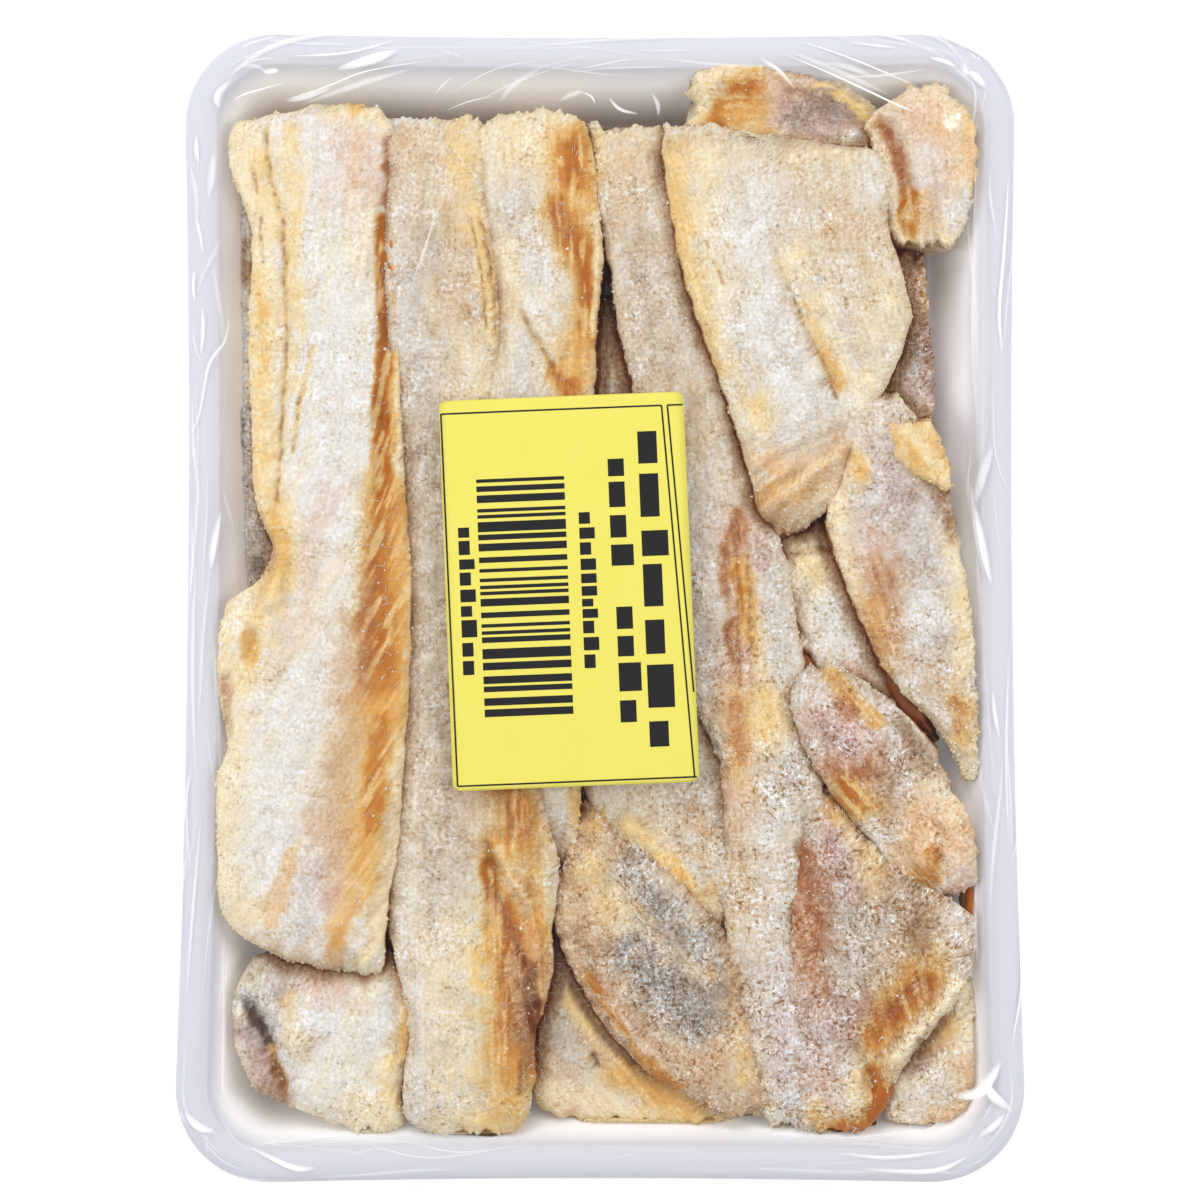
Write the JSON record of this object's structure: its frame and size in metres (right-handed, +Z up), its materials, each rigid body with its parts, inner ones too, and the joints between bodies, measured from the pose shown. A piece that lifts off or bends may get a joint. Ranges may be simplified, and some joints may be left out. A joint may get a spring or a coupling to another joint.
{
  "type": "packed salted fish fillets",
  "caption": "Salted dried fish fillets and offcuts laid side by side on a white foam tray, sealed under clear stretch film with a paper label.",
  "frame": {"origin": "under the middle of the pack, on the surface that it rests on", "axes": "+Y along the pack towards the top as it is read from above, +X to its right, +Z up through the film"},
  "size_m": [0.161, 0.2202, 0.0254],
  "materials": {
    "foam": "matt expanded polystyrene",
    "film": "clear stretch film, glossy",
    "label": "smooth coated paper",
    "salted_flesh": "dry fish flesh frosted with salt",
    "yellow_flesh": "oily yellow fish flesh with a little salt",
    "skin_side": "grey fish skin under salt"
  },
  "bodies": {
    "root": {"foam_tray": "foam", "film": "film", "label": "label", "left_fillet": "salted_flesh", "second_strip": "salted_flesh", "third_strip": "salted_flesh", "fourth_strip": "salted_flesh", "broad_fillet": "salted_flesh", "leaf_flap": "salted_flesh", "tucked_strip": "salted_flesh", "middle_right_piece": "salted_flesh", "lower_right_fillet": "salted_flesh", "bottom_corner_piece": "salted_flesh", "centre_strip": "salted_flesh", "bottom_left_piece": "salted_flesh", "corner_tail": "yellow_flesh", "top_tail": "yellow_flesh", "yellow_flake": "yellow_flesh", "skin_leaf": "skin_side", "skin_under_piece": "skin_side", "brown_strip": "skin_side", "left_under_piece": "skin_side"}
  },
  "joints": []
}
